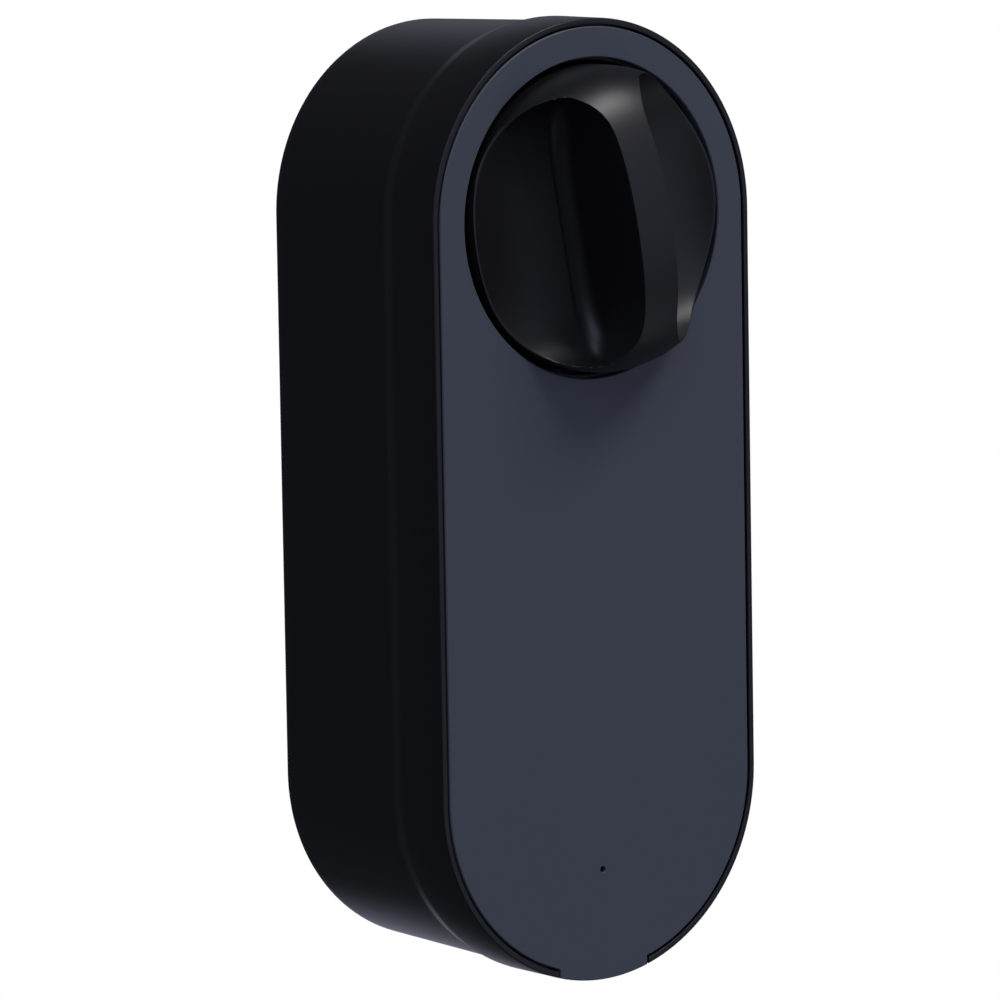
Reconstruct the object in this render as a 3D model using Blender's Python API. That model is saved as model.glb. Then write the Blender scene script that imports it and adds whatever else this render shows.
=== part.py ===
"""Indoor drive unit of a retrofit door lock: a pill-shaped housing with a thumb-turn knob.

World frame: the door's face is the plane y = 0 and +Y points into the door, so the room side is -Y.
+X is to the right for someone who faces the door, and +Z is up. Dimensions below are in millimetres.
"""

import math

import bmesh
import bpy

MM = 0.001

# Housing. The outline is a stadium: straight sides and two half-circles, the upper one round the knob.
HALF_WIDTH = 31.0
STRAIGHT = 44.4
DEPTH = 43.6
DOOR_GAP = 0.4
FRONT = -(DEPTH + DOOR_GAP)
# Depth behind the front plane and how far the wall stands in from the full outline: the front band, the
# crease behind it, and the body, which draws in a little towards the door.
WALL_PROFILE = ((0.0, 0.2), (0.2, 0.0), (10.6, 0.0), (11.4, 0.12), (13.3, 0.65), (13.8, 0.71),
                (DEPTH - 1.5, 1.35), (DEPTH - 0.5, 1.48), (DEPTH, 1.75))
CAVITY_HALF_WIDTH = 28.1
BACK_WALL = (-6.3, -4.3)
CLEARANCE = 0.3

# Front plate and the carrier behind it.
PLATE_HALF_WIDTH = 29.67
PLATE_GAP = 0.38
PLATE_THICKNESS = 1.5
PLATE_RECESS = 1.8
TAB_HALF_WIDTH = 8.7
PINHOLE_Z = -57.9
CARRIER_HALF_WIDTH = 28.7
CARRIER = (FRONT + 1.9, FRONT + 3.9)
CARRIER_SEAT = CARRIER[1] + CLEARANCE
MAGNET_X = 23.0
MAGNET_ROWS = (-4.0, -44.0)
MAGNET_RADIUS = 3.0
CARRIER_SCREWS = ((-24.6, 13.0), (24.6, 13.0), (-14.8, -64.0), (14.8, -64.0))
BUTTON_AT = (7.0, -61.5)

# Knob. U runs across the grip and V along it, before the knob is turned on its axis.
KNOB_Z = STRAIGHT
KNOB_HOLE_RADIUS = 25.0
DRUM_RADIUS = 23.85
KNOB_TURN = math.radians(10.2)
SHOULDER_HEIGHT = 0.45
CREST_HEIGHT = 15.3
CROWN_POWERS = (2.4, 2.675)
GRIP_HALF_WIDTH = 3.3
GRIP_STRAIGHT = 13.3
SCOOP_CORNER = (14.0, 9.5)
SCOOP_CORNER_POWER = 2.8
SCOOP_END = 21.15
SCOOP_FOOT = 6.2
FOOT_SPREAD = 1.4
SCOOP_RIM = (1.1, 7.0, 6.0, 2.2)
SCOOP_VALLEY = (-0.4, 7.5, 4.0, 2.0)
FLOOR_DIP = 0.9
FLOOR_LOWEST = 0.42
KNOB_BACK = FRONT + 6.8
KNOB_CEILING = FRONT + 2.6
KNOB_WALL = 2.55
HUB_RADIUS = 8.0
HUB_BACK = -33.0
SHAFT_FRONT = FRONT + 3.4
SHAFT_BACK = -13.0
CLIP_GROOVE = (-23.9, -22.1)

# Drive train, on axes parallel to Y.
MODULE = 0.6
OUTPUT_TEETH = 54
WHEEL_TEETH = 36
PINION_TEETH = 14
BACKLASH = 0.16
MOTOR_DROP = 22.2
GEARBOX_PLATE = (-20.4, -18.4)
OUTPUT_LAYER = (-17.0, -13.0)
WHEEL_LAYER = (-12.4, -9.6)
SHAFT_RADIUS = 5.0
MOTOR_RADIUS = 9.0
GEARBOX_POST_RADIUS = 23.5
GEARBOX_POST_ANGLES = (30.0, 150.0, 310.0)

# Battery tray with four AA cells.
TRAY_HALF_WIDTH = 16.9
TRAY_Z = (-54.7, 1.7)
TRAY_Y = (-41.2, -9.2)
CELL_RADIUS = 7.2
CELL_LENGTH = 50.5
CELL_X = 7.55
CELL_ROWS = (-33.0, -18.2)

# Mounting plate on the door.
MOUNT_HALF_WIDTH = 27.5
MOUNT_FRONT = -3.8
COLLAR_RADIUS = 13.5
COLLAR_FRONT = -9.0
CYLINDER_RADIUS = 9.0
CYLINDER_FOOT = 5.5
CYLINDER_DROP = 25.0
CLAMP_ANGLES = (30.0, 150.0, 90.0)
HOOK_X = (22.0, 26.0)
LATCH_Z = -62.5


def clear_scene():
    for obj in list(bpy.data.objects):
        bpy.data.objects.remove(obj, do_unlink=True)


def material(name, colour, roughness, metallic=0.0):
    made = bpy.data.materials.new(name)
    made.use_nodes = True
    shader = made.node_tree.nodes["Principled BSDF"]
    shader.inputs["Base Color"].default_value = (*colour, 1.0)
    shader.inputs["Roughness"].default_value = roughness
    shader.inputs["Metallic"].default_value = metallic
    return made


def circle(radius, steps=32, centre=(0.0, 0.0)):
    turn = 2 * math.pi / steps
    return [(centre[0] + radius * math.cos(i * turn), centre[1] + radius * math.sin(i * turn))
            for i in range(steps)]


def box_outline(low_x, high_x, low_z, high_z):
    return [(low_x, low_z), (high_x, low_z), (high_x, high_z), (low_x, high_z)]


def stadium(half_width, steps=20):
    """The outline of the housing, offset so that its straight sides stand half_width off the middle."""
    points = []
    for centre_z, start in ((STRAIGHT, 0.0), (-STRAIGHT, math.pi)):
        for i in range(steps + 1):
            angle = start + math.pi * i / steps
            points.append((half_width * math.cos(angle), centre_z + half_width * math.sin(angle)))
    return points


def keyhole(radius, foot_half_width, drop, steps=32):
    """The outline of a lock cylinder's end: a circle with a straight-sided foot hanging from it."""
    start = -math.acos(foot_half_width / radius)
    sweep = math.pi - 2 * start
    arc = [(radius * math.cos(start + sweep * i / steps), radius * math.sin(start + sweep * i / steps))
           for i in range(steps + 1)]
    return arc + [(-foot_half_width, -drop), (foot_half_width, -drop)]


def add_object(name, mesh, finish, at, rotation=(0.0, 0.0, 0.0), smooth=False):
    """A new object whose origin lies at the point (x, z) of the door's plane."""
    bmesh.ops.recalc_face_normals(mesh, faces=mesh.faces)
    data = bpy.data.meshes.new(name)
    mesh.to_mesh(data)
    mesh.free()
    if finish is not None:
        data.materials.append(finish)
    if smooth:
        data.shade_smooth()
        data.set_sharp_from_angle(angle=math.radians(35.0))
    obj = bpy.data.objects.new(name, data)
    obj.location = (at[0] * MM, 0.0, at[1] * MM)
    obj.rotation_euler = rotation
    bpy.context.scene.collection.objects.link(obj)
    return obj


def loft(name, rings, finish=None, at=(0.0, 0.0), rotation=(0.0, 0.0, 0.0), smooth=False):
    """A closed solid through rings, each a depth y and an outline of (x, z) points, all of one count."""
    mesh = bmesh.new()
    levels = [[mesh.verts.new((x * MM, y * MM, z * MM)) for x, z in outline] for y, outline in rings]
    for near, far in zip(levels, levels[1:]):
        for i, vertex in enumerate(near):
            j = (i + 1) % len(near)
            mesh.faces.new((vertex, near[j], far[j], far[i]))
    mesh.faces.new(levels[0])
    mesh.faces.new(levels[-1])
    return add_object(name, mesh, finish, at, rotation, smooth)


def prism(name, outline, low_y, high_y, finish=None, at=(0.0, 0.0)):
    return loft(name, ((low_y, outline), (high_y, outline)), finish, at)


def turned(name, profile, finish=None, at=(0.0, 0.0), steps=32, rotation=(0.0, 0.0, 0.0)):
    """A solid turned about its own Y axis: the profile is a closed loop of (radius, y) points."""
    mesh = bmesh.new()
    columns = []
    for radius, y in profile:
        if radius == 0.0:
            columns.append([mesh.verts.new((0.0, y * MM, 0.0))] * steps)
        else:
            columns.append([mesh.verts.new((x * MM, y * MM, z * MM)) for x, z in circle(radius, steps)])
    for near, far in zip(columns, columns[1:] + columns[:1]):
        for i in range(steps):
            j = (i + 1) % steps
            corners = list(dict.fromkeys((near[i], near[j], far[j], far[i])))
            if len(corners) > 2:
                mesh.faces.new(corners)
    return add_object(name, mesh, finish, at, rotation, smooth=True)


def rod(name, radius, low_y, high_y, finish=None, at=(0.0, 0.0), steps=32, rotation=(0.0, 0.0, 0.0)):
    profile = ((0.0, low_y), (radius, low_y), (radius, high_y), (0.0, high_y))
    return turned(name, profile, finish, at, steps, rotation)


def tube(name, inner, outer, low_y, high_y, finish=None, at=(0.0, 0.0), steps=32):
    profile = ((inner, low_y), (outer, low_y), (outer, high_y), (inner, high_y))
    return turned(name, profile, finish, at, steps)


def block(name, x, y, z, finish=None, at=(0.0, 0.0)):
    return prism(name, box_outline(*x, *z), *y, finish, at)


def combine(target, other, operation):
    modifier = target.modifiers.new(other.name, "BOOLEAN")
    modifier.operation = operation
    modifier.object = other
    modifier.solver = "EXACT"
    other.hide_render = True
    other.display_type = "WIRE"
    return target


def cut(target, *cutters):
    for cutter in cutters:
        combine(target, cutter, "DIFFERENCE")
    return target


def join(target, *others):
    for other in others:
        combine(target, other, "UNION")
    return target


def polar(radius, degrees, centre):
    angle = math.radians(degrees)
    return (centre[0] + radius * math.cos(angle), centre[1] + radius * math.sin(angle))


# Shafts of the drive train in the plane of the door.
KNOB_AXIS = (0.0, KNOB_Z)
MOTOR_AXIS = (0.0, KNOB_Z - MOTOR_DROP)
OUTPUT_PITCH = MODULE * OUTPUT_TEETH / 2
WHEEL_PITCH = MODULE * WHEEL_TEETH / 2
PINION_PITCH = MODULE * PINION_TEETH / 2


def idler_axis():
    """Where the idler's small gear meets the output gear and its wheel meets the motor's pinion."""
    to_knob = OUTPUT_PITCH + PINION_PITCH
    to_motor = WHEEL_PITCH + PINION_PITCH
    drop = (to_knob ** 2 - to_motor ** 2 + MOTOR_DROP ** 2) / (2 * MOTOR_DROP)
    return (-math.sqrt(to_knob ** 2 - drop ** 2), KNOB_Z - drop)


IDLER_AXIS = idler_axis()


def direction(start, end):
    return math.atan2(end[1] - start[1], end[0] - start[0])


def gear_outline(teeth, tooth_angle):
    """Involute teeth, one of them centred on tooth_angle, thinned by the backlash."""
    pitch = MODULE * teeth / 2
    pressure = math.radians(20.0)
    base = pitch * math.cos(pressure)
    root = pitch - 1.25 * MODULE
    tip = pitch + 0.9 * MODULE
    half_at_pitch = math.pi / (2 * teeth) - BACKLASH / (2 * pitch)
    flank = []
    for radius in (root, pitch, tip):
        rolled = math.acos(min(base / radius, 1.0))
        spread = math.tan(pressure) - pressure - (math.tan(rolled) - rolled)
        flank.append((radius, half_at_pitch + spread))
    points = []
    for tooth in range(teeth):
        middle = tooth_angle + 2 * math.pi * tooth / teeth
        sides = [(radius, middle - half) for radius, half in flank]
        sides += [(radius, middle + half) for radius, half in reversed(flank)]
        points += [(radius * math.cos(angle), radius * math.sin(angle)) for radius, angle in sides]
    return points


def make_housing(finish):
    rings = [(FRONT + depth, stadium(HALF_WIDTH - inset)) for depth, inset in WALL_PROFILE]
    housing = loft("housing", rings, finish, smooth=True)
    recess = prism("plate_recess", stadium(PLATE_HALF_WIDTH + PLATE_GAP), FRONT - 1.0,
                   FRONT + PLATE_RECESS)
    seat = prism("carrier_seat", stadium(CARRIER_HALF_WIDTH + CLEARANCE), FRONT, CARRIER_SEAT)
    cavity = prism("housing_cavity", stadium(CAVITY_HALF_WIDTH), FRONT, BACK_WALL[0])
    back = prism("back_recess", stadium(CAVITY_HALF_WIDTH), BACK_WALL[1], 1.0)
    notch = block("tab_notch", (-TAB_HALF_WIDTH - CLEARANCE, TAB_HALF_WIDTH + CLEARANCE),
                  (FRONT - 1.0, FRONT + PLATE_RECESS), (-STRAIGHT - HALF_WIDTH - 1.0, -70.0))
    cut(housing, recess, seat, cavity, back, notch)
    for i, (x, z) in enumerate(CARRIER_SCREWS, 1):
        join(housing, rod(f"carrier_post_{i}", 3.8, CARRIER_SEAT, BACK_WALL[1] - 0.5, at=(x, z), steps=16))
        cut(housing, rod(f"carrier_pilot_{i}", 1.3, FRONT, CARRIER_SEAT + 7.0, at=(x, z), steps=12))
    for i, degrees in enumerate(GEARBOX_POST_ANGLES, 1):
        at = polar(GEARBOX_POST_RADIUS, degrees, KNOB_AXIS)
        top = GEARBOX_PLATE[1] + CLEARANCE
        join(housing, rod(f"gearbox_post_{i}", 3.0, top, BACK_WALL[1] - 0.5, at=at, steps=16))
        cut(housing, rod(f"gearbox_pilot_{i}", 1.3, FRONT, top + 6.0, at=at, steps=12))
    join(housing, rod("axle_post", 3.0, WHEEL_LAYER[1] + CLEARANCE, BACK_WALL[1] - 0.5,
                      at=IDLER_AXIS, steps=16))
    cut(housing, rod("axle_socket", 1.8, FRONT, BACK_WALL[0] - 0.5, at=IDLER_AXIS, steps=12))
    opening = keyhole(COLLAR_RADIUS + 0.5, CYLINDER_FOOT + 0.8, CYLINDER_DROP + 0.8)
    cut(housing, prism("collar_opening", opening, -8.0, 1.0, at=KNOB_AXIS))
    for side in (-1, 1):
        low, high = sorted((side * (HOOK_X[0] - 0.5), side * (HOOK_X[1] + 0.5)))
        cut(housing, block(f"hook_slot_{side}", (low, high), (-8.0, 1.0), (-26.2, -17.5)))
    cut(housing, block("latch_slot", (-3.4, 3.4), (-8.0, 1.0), (LATCH_Z - 1.9, LATCH_Z + 1.9)))
    return housing


def make_front_plate(finish):
    outline = stadium(PLATE_HALF_WIDTH, 28)
    back = FRONT + PLATE_THICKNESS
    bevel = 0.15
    plate = loft("front_plate", ((FRONT, stadium(PLATE_HALF_WIDTH - bevel, 28)),
                                 (FRONT + bevel, outline), (back, outline)), finish)
    reach = math.asin(TAB_HALF_WIDTH / HALF_WIDTH)
    arc = [(HALF_WIDTH * math.sin(reach * t / 4), -STRAIGHT - HALF_WIDTH * math.cos(reach * t / 4))
           for t in range(-4, 5)]
    tab = prism("plate_tab", arc + [(TAB_HALF_WIDTH, -70.0), (-TAB_HALF_WIDTH, -70.0)],
                FRONT + 0.02, back - 0.02)
    join(plate, tab)
    cut(plate, rod("knob_hole", KNOB_HOLE_RADIUS, FRONT - 1.0, back + 1.0, at=KNOB_AXIS, steps=64))
    return cut(plate, rod("pinhole", 0.5, FRONT - 1.0, back + 1.0, at=(0.0, PINHOLE_Z), steps=12))


def make_carrier(finish):
    carrier = prism("inner_frame", stadium(CARRIER_HALF_WIDTH), *CARRIER, finish)
    deep = (CARRIER[0] - 1.0, CARRIER[1] + 1.0)
    cut(carrier, rod("carrier_knob_hole", DRUM_RADIUS + 0.7, *deep, at=KNOB_AXIS, steps=48))
    cut(carrier, block("battery_opening", (-TRAY_HALF_WIDTH - 0.5, TRAY_HALF_WIDTH + 0.5), deep,
                       (TRAY_Z[0] - 0.4, TRAY_Z[1] + 0.4)))
    holes = [(f"screw_hole_{i}", 1.6, at) for i, at in enumerate(CARRIER_SCREWS, 1)]
    holes += [(f"magnet_pocket_{i}", MAGNET_RADIUS + 0.4, at) for i, at in enumerate(magnet_places(), 1)]
    holes += [("pipe_hole", 1.8, (0.0, PINHOLE_Z)), ("button_hole", 2.6, BUTTON_AT)]
    for name, radius, at in holes:
        cut(carrier, rod(name, radius, *deep, at=at, steps=16))
    for i, at in enumerate(CARRIER_SCREWS, 1):
        cut(carrier, rod(f"screw_sink_{i}", 2.6, deep[0], CARRIER[0] + 1.4, at=at, steps=16))
    return carrier


def magnet_places():
    return [(side * MAGNET_X, z) for z in MAGNET_ROWS for side in (-1, 1)]


def screw(name, at, head_y, length, finish, shank=1.0, head=2.2):
    """A pan head on the room side, its underside at head_y, and a plain shank towards the door."""
    top = head_y - 1.3
    return turned(name, ((0.0, top), (head * 0.75, top), (head, top + 0.5), (head, head_y),
                         (shank, head_y), (shank, head_y + length), (0.0, head_y + length)),
                  finish, at, steps=14)


def dome_height(radius):
    """Height of the knob's turned surface above the plate: a low crown with a steep round shoulder."""
    flat, round_off = CROWN_POWERS
    share = max(1.0 - (radius / DRUM_RADIUS) ** flat, 0.0)
    return SHOULDER_HEIGHT + (CREST_HEIGHT - SHOULDER_HEIGHT) * share ** (1 / round_off)


def grip_edge(v):
    """Half the grip's width at v along it: straight in the middle, flared at both ends."""
    reach = min(max(abs(v) - GRIP_STRAIGHT, 0.0) / SCOOP_CORNER[1], 1.0)
    power = SCOOP_CORNER_POWER
    return GRIP_HALF_WIDTH + SCOOP_CORNER[0] * (1.0 - (1.0 - reach ** power) ** (1 / power))


def rise(curve, v):
    """A height that is nearly level along the scoop and lifts towards its ends."""
    level, lift, power, round_off = curve
    share = 1.0 - min(abs(v) / SCOOP_END, 1.0) ** power
    return level + lift * (1.0 - share ** (1 / round_off))


def scoop_row(v):
    """Section of a thumb scoop's cutter across the grip: down the flank, round its foot, and out."""
    edge = grip_edge(v)
    foot = max(SCOOP_FOOT + FOOT_SPREAD * (v / SCOOP_END) ** 4, edge + 1.5)
    crown = dome_height(min(math.hypot(edge, v), DRUM_RADIUS))
    rim = rise(SCOOP_RIM, v)
    valley = min(rise(SCOOP_VALLEY, v), crown - 0.5)
    low = valley - FLOOR_DIP * (1.0 - (v / SCOOP_END) ** 2)
    round_off = min(0.9 * (foot - edge), 0.95 * (crown - valley))
    row = [(edge - 0.6, crown + 6.0), (edge, crown)]
    for step in range(7):
        angle = math.pi / 2 * step / 6
        row.append((foot - round_off * math.cos(angle), valley + round_off * (1.0 - math.sin(angle))))
    row += [(foot + (DRUM_RADIUS - foot) * FLOOR_LOWEST * share, low + (valley - low) * (1.0 - share) ** 2)
            for share in (0.5, 1.0)]
    row += [(foot + (DRUM_RADIUS - foot) * (FLOOR_LOWEST + (1.0 - FLOOR_LOWEST) * share),
             low + (rim - low) * share ** 2) for share in (0.35, 0.7, 1.0)]
    row.append((DRUM_RADIUS + 1.5, rim))
    return row + [(DRUM_RADIUS + 1.5, 30.0), (edge - 0.6, 30.0)]


def scoop_cutter(name, side):
    """The scoop as a loft of sections along the grip; its own Y axis holds the height above the plate."""
    rows = 18
    mesh = bmesh.new()
    levels = []
    for i in range(rows + 1):
        v = SCOOP_END * math.sin(math.pi * (i / rows - 0.5))
        levels.append([mesh.verts.new((side * u * MM, (FRONT - h) * MM, v * MM)) for u, h in scoop_row(v)])
    for near, far in zip(levels, levels[1:]):
        for i, vertex in enumerate(near):
            j = (i + 1) % len(near)
            mesh.faces.new((vertex, near[j], far[j], far[i]))
    mesh.faces.new(levels[0])
    mesh.faces.new(levels[-1])
    return add_object(name, mesh, None, KNOB_AXIS, (0.0, -KNOB_TURN, 0.0))


def make_knob(finish):
    radii = [DRUM_RADIUS * math.sin(math.pi / 2 * i / 9) for i in range(10)]
    profile = [(radius, FRONT - dome_height(radius)) for radius in radii]
    hollow = DRUM_RADIUS - KNOB_WALL
    profile += [(DRUM_RADIUS, KNOB_BACK), (hollow, KNOB_BACK), (hollow, KNOB_CEILING), (0.0, KNOB_CEILING)]
    knob = turned("thumbturn_knob", profile, finish, KNOB_AXIS, 64, (0.0, -KNOB_TURN, 0.0))
    for side in (-1, 1):
        cut(knob, scoop_cutter(f"scoop_cutter_{side}", side))
    join(knob, rod("knob_hub", HUB_RADIUS, KNOB_CEILING - 0.5, HUB_BACK, at=KNOB_AXIS))
    bore = rod("knob_bore", SHAFT_RADIUS + CLEARANCE, SHAFT_FRONT - CLEARANCE, HUB_BACK + 3.0, at=KNOB_AXIS)
    return cut(knob, bore)


def make_shaft_parts(steel, bronze, dark):
    groove_front, groove_back = CLIP_GROOVE
    groove = SHAFT_RADIUS - 1.0
    turned("knob_shaft", ((0.0, SHAFT_FRONT), (SHAFT_RADIUS, SHAFT_FRONT), (SHAFT_RADIUS, groove_front),
                          (groove, groove_front), (groove, groove_back), (SHAFT_RADIUS, groove_back),
                          (SHAFT_RADIUS, SHAFT_BACK), (0.0, SHAFT_BACK)), steel, KNOB_AXIS, 24)
    turned("shaft_bushing", ((5.3, -22.0), (7.6, -22.0), (7.6, -20.7), (6.2, -20.7), (6.2, -18.2),
                             (5.3, -18.2)), bronze, KNOB_AXIS, 24)
    clip = tube("retaining_clip", 4.3, 7.0, -23.6, -22.4, steel, KNOB_AXIS, 24)
    cut(clip, block("clip_mouth", (-3.2, 3.2), (-25.0, -21.0), (-9.0, 0.0), at=KNOB_AXIS))
    tube("encoder_magnet", 5.3, 9.0, -31.0, -27.5, dark, KNOB_AXIS, 24)


def make_gears(brass, nylon, steel):
    output = prism("output_gear", gear_outline(OUTPUT_TEETH, direction(KNOB_AXIS, IDLER_AXIS)),
                   *OUTPUT_LAYER, brass, KNOB_AXIS)
    cut(output, rod("output_bore", SHAFT_RADIUS + CLEARANCE, -20.0, -10.0, at=KNOB_AXIS))
    half_tooth = math.pi / PINION_TEETH
    small = prism("idler_small", gear_outline(PINION_TEETH, direction(IDLER_AXIS, KNOB_AXIS) + half_tooth),
                  OUTPUT_LAYER[0], WHEEL_LAYER[0] + 0.5, at=IDLER_AXIS)
    wheel = prism("idler_gear", gear_outline(WHEEL_TEETH, direction(IDLER_AXIS, MOTOR_AXIS)),
                  *WHEEL_LAYER, nylon, IDLER_AXIS)
    join(wheel, small)
    cut(wheel, rod("idler_bore", 1.8, -20.0, -8.0, at=IDLER_AXIS, steps=20))
    rod("idler_axle", 1.5, GEARBOX_PLATE[0] + 0.2, BACK_WALL[0] - 0.9, steel, IDLER_AXIS, steps=20)
    prism("motor_pinion", gear_outline(PINION_TEETH, direction(MOTOR_AXIS, IDLER_AXIS) + half_tooth),
          GEARBOX_PLATE[0] + 0.1, WHEEL_LAYER[1], brass, MOTOR_AXIS)


def make_gearbox_plate(steel):
    plate = prism("gearbox_plate", circle(26.5, 48), *GEARBOX_PLATE, steel, KNOB_AXIS)
    deep = (GEARBOX_PLATE[0] - 1.0, GEARBOX_PLATE[1] + 1.0)
    join(plate, block("motor_lobe", (-13.0, 13.0), (GEARBOX_PLATE[0] + 0.02, GEARBOX_PLATE[1] - 0.02),
                      (MOTOR_AXIS[1] - 11.0, KNOB_Z)))
    cut(plate, rod("bushing_hole", 6.5, *deep, at=KNOB_AXIS), rod("axle_hole", 1.8, *deep, at=IDLER_AXIS),
        rod("pinion_hole", 5.2, *deep, at=MOTOR_AXIS))
    for i, degrees in enumerate(GEARBOX_POST_ANGLES, 1):
        at = polar(GEARBOX_POST_RADIUS, degrees, KNOB_AXIS)
        cut(plate, rod(f"gearbox_hole_{i}", 1.4, *deep, at=at, steps=12))
        screw(f"gearbox_screw_{i}", at, GEARBOX_PLATE[0] - CLEARANCE, 7.5, steel)
    return plate


def make_motor(steel, dark):
    front, back = -35.9, GEARBOX_PLATE[0] - CLEARANCE
    profile = ((0.0, front), (3.0, front), (3.0, front + 1.0), (MOTOR_RADIUS - 0.6, front + 1.0),
               (MOTOR_RADIUS, front + 1.6), (MOTOR_RADIUS, back), (0.0, back))
    motor = turned("gear_motor", profile, steel, MOTOR_AXIS, 28)
    for i, side in enumerate((-1, 1), 1):
        at = (side * 6.8, MOTOR_AXIS[1])
        cut(motor, rod(f"motor_tap_{i}", 1.3, back - 2.6, back + 1.0, at=at, steps=12))
        cut(bpy.data.objects["gearbox_plate"], rod(f"motor_hole_{i}", 1.3, -22.0, -17.0, at=at, steps=12))
        head = GEARBOX_PLATE[1] + CLEARANCE
        turned(f"motor_screw_{i}", ((0.0, head + 1.0), (1.7, head + 1.0), (1.7, head), (0.9, head),
                                    (0.9, back - 2.2), (0.0, back - 2.2)), dark, at, 12)


def make_coupler(steel):
    coupler = rod("cylinder_coupler", 7.6, OUTPUT_LAYER[1] + 0.4, COLLAR_FRONT - 0.4, steel, KNOB_AXIS)
    slot = (COLLAR_FRONT - 3.0, COLLAR_FRONT + 1.0)
    return cut(coupler, block("tailpiece_slot", (-1.4, 1.4), slot, (-5.5, 5.5), at=KNOB_AXIS),
               block("tailpiece_cross_slot", (-5.5, 5.5), slot, (-1.4, 1.4), at=KNOB_AXIS))


def make_electronics(board, chip, clear, button):
    main = block("main_board", (19.4, 21.0), (-37.5, -10.5), (-46.0, 6.0), board)
    join(main, block("controller_chip", (20.9, 22.2), (-30.0, -21.0), (-20.0, -11.0)),
         block("power_stage", (20.9, 23.4), (-34.0, -26.0), (-42.0, -34.0)),
         block("board_socket", (20.9, 25.0), (-22.0, -16.0), (-4.0, 3.0)))
    radio = block("radio_module", (-21.0, -19.4), (-36.0, -14.0), (-32.0, -6.0), board)
    join(radio, block("radio_can", (-23.0, -20.9), (-31.0, -17.0), (-22.0, -8.0)))
    block("status_board", (-10.4, 10.4), (-36.2, -34.6), (-69.5, -56.8), board)
    turned("buzzer", ((0.0, -34.3), (5.5, -34.3), (5.5, -30.0), (1.2, -30.0), (1.2, -31.0), (0.0, -31.0)),
           chip, (0.0, -63.5), 24)
    turned("light_pipe", ((0.0, CARRIER[0] - 0.1), (0.45, CARRIER[0] - 0.1), (1.3, CARRIER[0] + 0.9),
                          (1.3, -36.5), (0.0, -36.5)),
           clear, (0.0, PINHOLE_Z), 16)
    turned("reset_button", ((0.0, CARRIER[0] + 0.3), (1.9, CARRIER[0] + 0.3), (2.2, CARRIER[0] + 0.6),
                            (2.2, -39.0), (1.2, -38.6),
                            (1.2, -37.1), (0.0, -37.1)), button, BUTTON_AT, 16)
    sensor = block("sensor_board", (-8.0, 8.0), (-26.0, -24.8), (KNOB_Z + 10.5, KNOB_Z + 20.0), board)
    for side in (-1, 1):
        join(sensor, rod(f"sensor_leg_{side}", 1.2, -25.0, GEARBOX_PLATE[0] - CLEARANCE,
                         at=(side * 6.0, KNOB_Z + 17.5), steps=12))


def make_battery(dark, cell, nickel, ribbon):
    tray = block("battery_tray", (-TRAY_HALF_WIDTH, TRAY_HALF_WIDTH), TRAY_Y, TRAY_Z, dark)
    wall = 1.3
    cut(tray, block("tray_cavity", (-TRAY_HALF_WIDTH + wall, TRAY_HALF_WIDTH - wall),
                    (TRAY_Y[0] - 1.0, TRAY_Y[1] - wall), (TRAY_Z[0] + wall, TRAY_Z[1] - wall)))
    middle = (TRAY_Z[0] + TRAY_Z[1]) / 2
    nub = 1.0
    end = CELL_LENGTH / 2
    number = 0
    for y in CELL_ROWS:
        for side in (-1, 1):
            number += 1
            made = turned(f"battery_cell_{number}",
                          ((0.0, -end), (CELL_RADIUS, -end), (CELL_RADIUS, end - nub), (2.7, end - nub),
                           (2.7, end), (0.0, end)), cell, (side * CELL_X, middle), 20,
                          (side * math.pi / 2, 0.0, 0.0))
            made.location.y = y * MM
    inner = (-TRAY_HALF_WIDTH + wall + 0.4, TRAY_HALF_WIDTH - wall - 0.4)
    for name, sign in (("contact_strip_bottom", -1), ("contact_strip_top", 1)):
        far = middle + sign * (TRAY_Z[1] - middle - wall - CLEARANCE)
        low, high = sorted((far, far - sign * 0.5))
        block(name, inner, (-39.5, -12.0), (low, high), nickel)
    block("pull_ribbon", (-3.5, 3.5), (-41.0, -40.5), (middle - 25.0, middle + 7.0), ribbon)
    return tray


def make_mounting_plate(finish, steel):
    plate = prism("mounting_plate", stadium(MOUNT_HALF_WIDTH), MOUNT_FRONT, 0.0, finish)
    join(plate, rod("cylinder_collar", COLLAR_RADIUS, COLLAR_FRONT, -1.0, at=KNOB_AXIS))
    deep = (COLLAR_FRONT - 1.0, 1.0)
    for side in (-1, 1):
        low, high = sorted((side * HOOK_X[0], side * HOOK_X[1]))
        join(plate, block(f"hook_stem_{side}", (low, high), (-8.6, -3.0), (-22.0, -18.0)))
        join(plate, block(f"hook_lip_{side}", (low, high), (-8.6, -6.6), (-20.0, -14.5)))
    bore = keyhole(CYLINDER_RADIUS, CYLINDER_FOOT, CYLINDER_DROP)
    cut(plate, prism("cylinder_bore", bore, *deep, at=KNOB_AXIS),
        block("latch_window", (-3.4, 3.4), deep, (LATCH_Z - 1.9, LATCH_Z + 1.9)))
    for i, z in enumerate((10.0, -48.0), 1):
        cut(plate, rod(f"fixing_hole_{i}", 2.3, *deep, at=(0.0, z), steps=20))
    for i, degrees in enumerate(CLAMP_ANGLES, 1):
        lean = math.pi / 2 - math.radians(degrees)
        turn = (math.pi / 2, lean, 0.0)
        bore = rod(f"clamp_bore_{i}", 2.1, CYLINDER_RADIUS - 1.0, COLLAR_RADIUS + 1.0, at=KNOB_AXIS,
                   steps=20, rotation=turn)
        bolt = turned(f"clamp_screw_{i}", ((0.0, 9.2), (1.2, 9.2), (1.8, 9.8), (1.8, 13.2), (0.9, 13.2),
                                           (0.9, 11.4), (0.0, 11.4)), steel, KNOB_AXIS, 18, turn)
        bore.location.y = bolt.location.y = -6.3 * MM
        cut(plate, bore)
    return plate


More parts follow.
